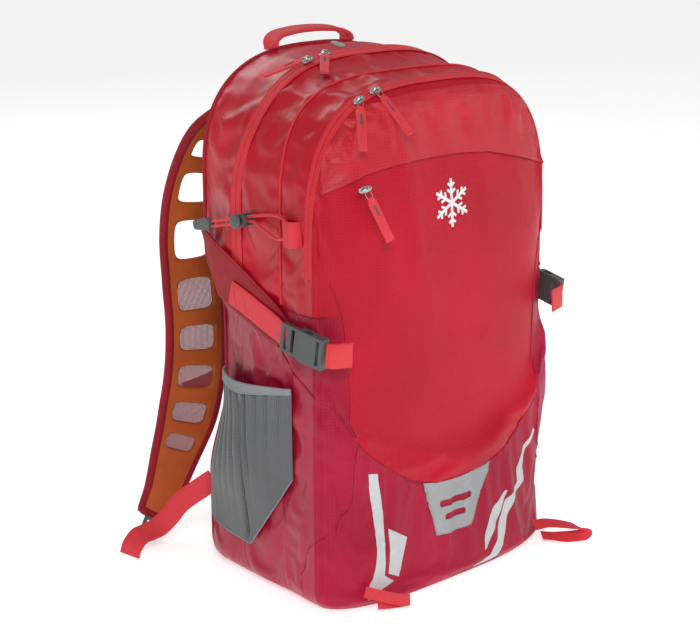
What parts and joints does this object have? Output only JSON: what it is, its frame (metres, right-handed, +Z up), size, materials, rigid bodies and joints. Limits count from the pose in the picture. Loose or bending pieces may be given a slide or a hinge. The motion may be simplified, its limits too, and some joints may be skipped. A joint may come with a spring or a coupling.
{
  "type": "ski backpack",
  "caption": "Red 35 litre ski backpack with a fold-down lid, padded ventilated shoulder straps, compression straps and stretch side pockets.",
  "frame": {"origin": "on the flat base, under the middle of the bag", "axes": "+Z up; +Y towards the wearer and the shoulder straps; -Y is the front of the bag; -X is the wearer's left"},
  "size_m": [0.4208, 0.3501, 0.5304],
  "materials": {
    "ripstop": "matte ripstop weave",
    "coral": "matte",
    "maroon": "matte weave",
    "wing": "matte coarse weave",
    "zip": "coil zip tape",
    "webbing": "matte herringbone",
    "eva": "matte",
    "spacer": "matte",
    "mesh": "matte stretch",
    "plastic": "satin",
    "metal": "brushed",
    "sheet": "satin",
    "lining": "matte"
  },
  "bodies": {
    "pack": {"rear_gusset": "ripstop", "main_zip_body": "zip", "back_panel": "maroon", "frame_sheet": "sheet", "base_panel": "maroon", "lower_side_left": "maroon", "lower_side_right": "maroon", "lower_pocket": "maroon", "lower_divider": "lining", "haul_handle": "coral", "gear_loop_left": "webbing", "gear_loop_right": "webbing", "back_pad_left": "spacer", "back_pad_right": "spacer", "wing_left": "wing", "wing_right": "wing", "compression_socket_left": "plastic", "compression_socket_right": "plastic", "front_webbing_left": "webbing", "front_webbing_right": "webbing", "side_pocket_left": "mesh", "side_pocket_right": "mesh", "strap_webbing_left": "webbing", "strap_webbing_right": "webbing"},
    "lid": {"lid_gusset": "ripstop", "pocket_gusset": "ripstop", "lid_divider": "lining", "main_zip_lid": "zip", "front_strip": "ripstop", "front_zip_gusset": "zip", "pole_cord_left": "coral", "pole_cord_right": "coral", "cord_clip_left": "plastic", "cord_clip_right": "plastic"},
    "pocket_flap": {"front_flap": "ripstop", "front_zip_flap": "zip"},
    "main_left_zip_slider": {"main_left_slider": "metal"},
    "main_left_zip_pull": {"main_left_pull": "coral"},
    "main_right_zip_slider": {"main_right_slider": "metal"},
    "main_right_zip_pull": {"main_right_pull": "coral"},
    "front_left_zip_slider": {"front_left_slider": "metal"},
    "front_left_zip_pull": {"front_left_pull": "coral"},
    "front_right_zip_slider": {"front_right_slider": "metal"},
    "front_right_zip_pull": {"front_right_pull": "coral"},
    "pocket_zip_slider": {"pocket_slider": "metal"},
    "pocket_zip_pull": {"pocket_pull": "coral"},
    "plug_left": {"compression_plug_left": "plastic"},
    "cord_lock_body_left": {"cord_lock_left": "plastic"},
    "cord_lock_button_left": {"cord_button_left": "plastic"},
    "plug_right": {"compression_plug_right": "plastic"},
    "cord_lock_body_right": {"cord_lock_right": "plastic"},
    "cord_lock_button_right": {"cord_button_right": "plastic"},
    "harness": {"shoulder_strap_left": "eva", "shoulder_strap_right": "eva", "ladder_lock_left": "plastic", "ladder_lock_right": "plastic"},
    "sternum": {"sternum_webbing_left": "webbing", "sternum_webbing_right": "webbing", "sternum_socket": "plastic"},
    "sternum_release": {"sternum_plug": "plastic"}
  },
  "joints": [
    {"name": "lid_fold", "type": "hinge", "parent": "pack", "child": "lid", "pos_m": [0, -0.1185, 0.285], "axis": [1, 0, 0], "range_deg": [0, 24]},
    {"name": "pocket_flap_fold", "type": "hinge", "parent": "lid", "child": "pocket_flap", "pos_m": [0, -0.1185, 0.325], "axis": [1, 0, 0], "range_deg": [0, 28]},
    {"name": "main_left_slider_travel", "type": "hinge", "parent": "lid", "child": "main_left_zip_slider", "pos_m": [-0.04894, 0.014, 0.40931], "axis": [0, -1, 0], "range_deg": [0, 22]},
    {"name": "main_right_slider_travel", "type": "hinge", "parent": "lid", "child": "main_right_zip_slider", "pos_m": [-0.00244, 0.014, 0.06156], "axis": [0, 1, 0], "range_deg": [0, 15.4]},
    {"name": "front_left_slider_travel", "type": "hinge", "parent": "pocket_flap", "child": "front_left_zip_slider", "pos_m": [-0.06082, -0.077, 0.40111], "axis": [0, -1, 0], "range_deg": [0, 16]},
    {"name": "front_right_slider_travel", "type": "hinge", "parent": "pocket_flap", "child": "front_right_zip_slider", "pos_m": [-0.03461, -0.077, 0.33973], "axis": [0, 1, 0], "range_deg": [0, 12]},
    {"name": "pocket_slider_travel", "type": "slide", "parent": "pocket_flap", "child": "pocket_zip_slider", "axis": [0.9691, -0.1329, 0.2077], "range_m": [0, 0.022]},
    {"name": "main_left_pull_lift", "type": "hinge", "parent": "main_left_zip_slider", "child": "main_left_zip_pull", "pos_m": [-0.07525, 0.01293, 0.51101], "axis": [0.0723, 0.9797, 0.1868], "range_deg": [0, 55]},
    {"name": "main_right_pull_lift", "type": "hinge", "parent": "main_right_zip_slider", "child": "main_right_zip_pull", "pos_m": [-0.05439, 0.01258, 0.51525], "axis": [-0.7518, 0.6582, 0.0398], "range_deg": [0, 55]},
    {"name": "front_left_pull_lift", "type": "hinge", "parent": "front_left_zip_slider", "child": "front_left_zip_pull", "pos_m": [-0.09603, -0.0816, 0.48527], "axis": [-0.8736, 0.4715, 0.1202], "range_deg": [0, 55]},
    {"name": "front_right_pull_lift", "type": "hinge", "parent": "front_right_zip_slider", "child": "front_right_zip_pull", "pos_m": [-0.07564, -0.08152, 0.49206], "axis": [-0.9721, -0.0009, -0.2345], "range_deg": [0, 55]},
    {"name": "pocket_pull_lift", "type": "hinge", "parent": "pocket_zip_slider", "child": "pocket_zip_pull", "pos_m": [-0.11459, -0.11032, 0.40876], "axis": [-0.9016, 0.1781, -0.3942], "range_deg": [0, 55]},
    {"name": "plug_release_left", "type": "slide", "parent": "pack", "child": "plug_left", "axis": [-0.1009, 0.9833, 0.1513], "range_m": [0, 0.022]},
    {"name": "cord_lock_travel_left", "type": "slide", "parent": "lid", "child": "cord_lock_body_left", "axis": [0, 0.9724, -0.2334], "range_m": [0, 0.024]},
    {"name": "cord_button_press_left", "type": "slide", "parent": "cord_lock_body_left", "child": "cord_lock_button_left", "axis": [1, 0, 0], "range_m": [0, 0.0024], "stiffness_N_per_m": 900},
    {"name": "plug_release_right", "type": "slide", "parent": "pack", "child": "plug_right", "axis": [0.1009, 0.9833, 0.1513], "range_m": [0, 0.022]},
    {"name": "cord_lock_travel_right", "type": "slide", "parent": "lid", "child": "cord_lock_body_right", "axis": [0, 0.9724, -0.2334], "range_m": [0, 0.024]},
    {"name": "cord_button_press_right", "type": "slide", "parent": "cord_lock_body_right", "child": "cord_lock_button_right", "axis": [-1, 0, 0], "range_m": [0, 0.0024], "stiffness_N_per_m": 900},
    {"name": "harness_swing", "type": "hinge", "parent": "pack", "child": "harness", "pos_m": [0, 0.112, 0.456], "axis": [1, 0, 0], "range_deg": [0, 18], "deforming": ["strap_webbing_left", "strap_webbing_right"]},
    {"name": "sternum_height", "type": "slide", "parent": "harness", "child": "sternum", "axis": [0, 0, 1], "range_m": [-0.012, 0.012]},
    {"name": "sternum_plug_release", "type": "slide", "parent": "sternum", "child": "sternum_release", "axis": [-1, 0, 0], "range_m": [0, 0.017], "deforming": ["sternum_webbing_left"]}
  ]
}
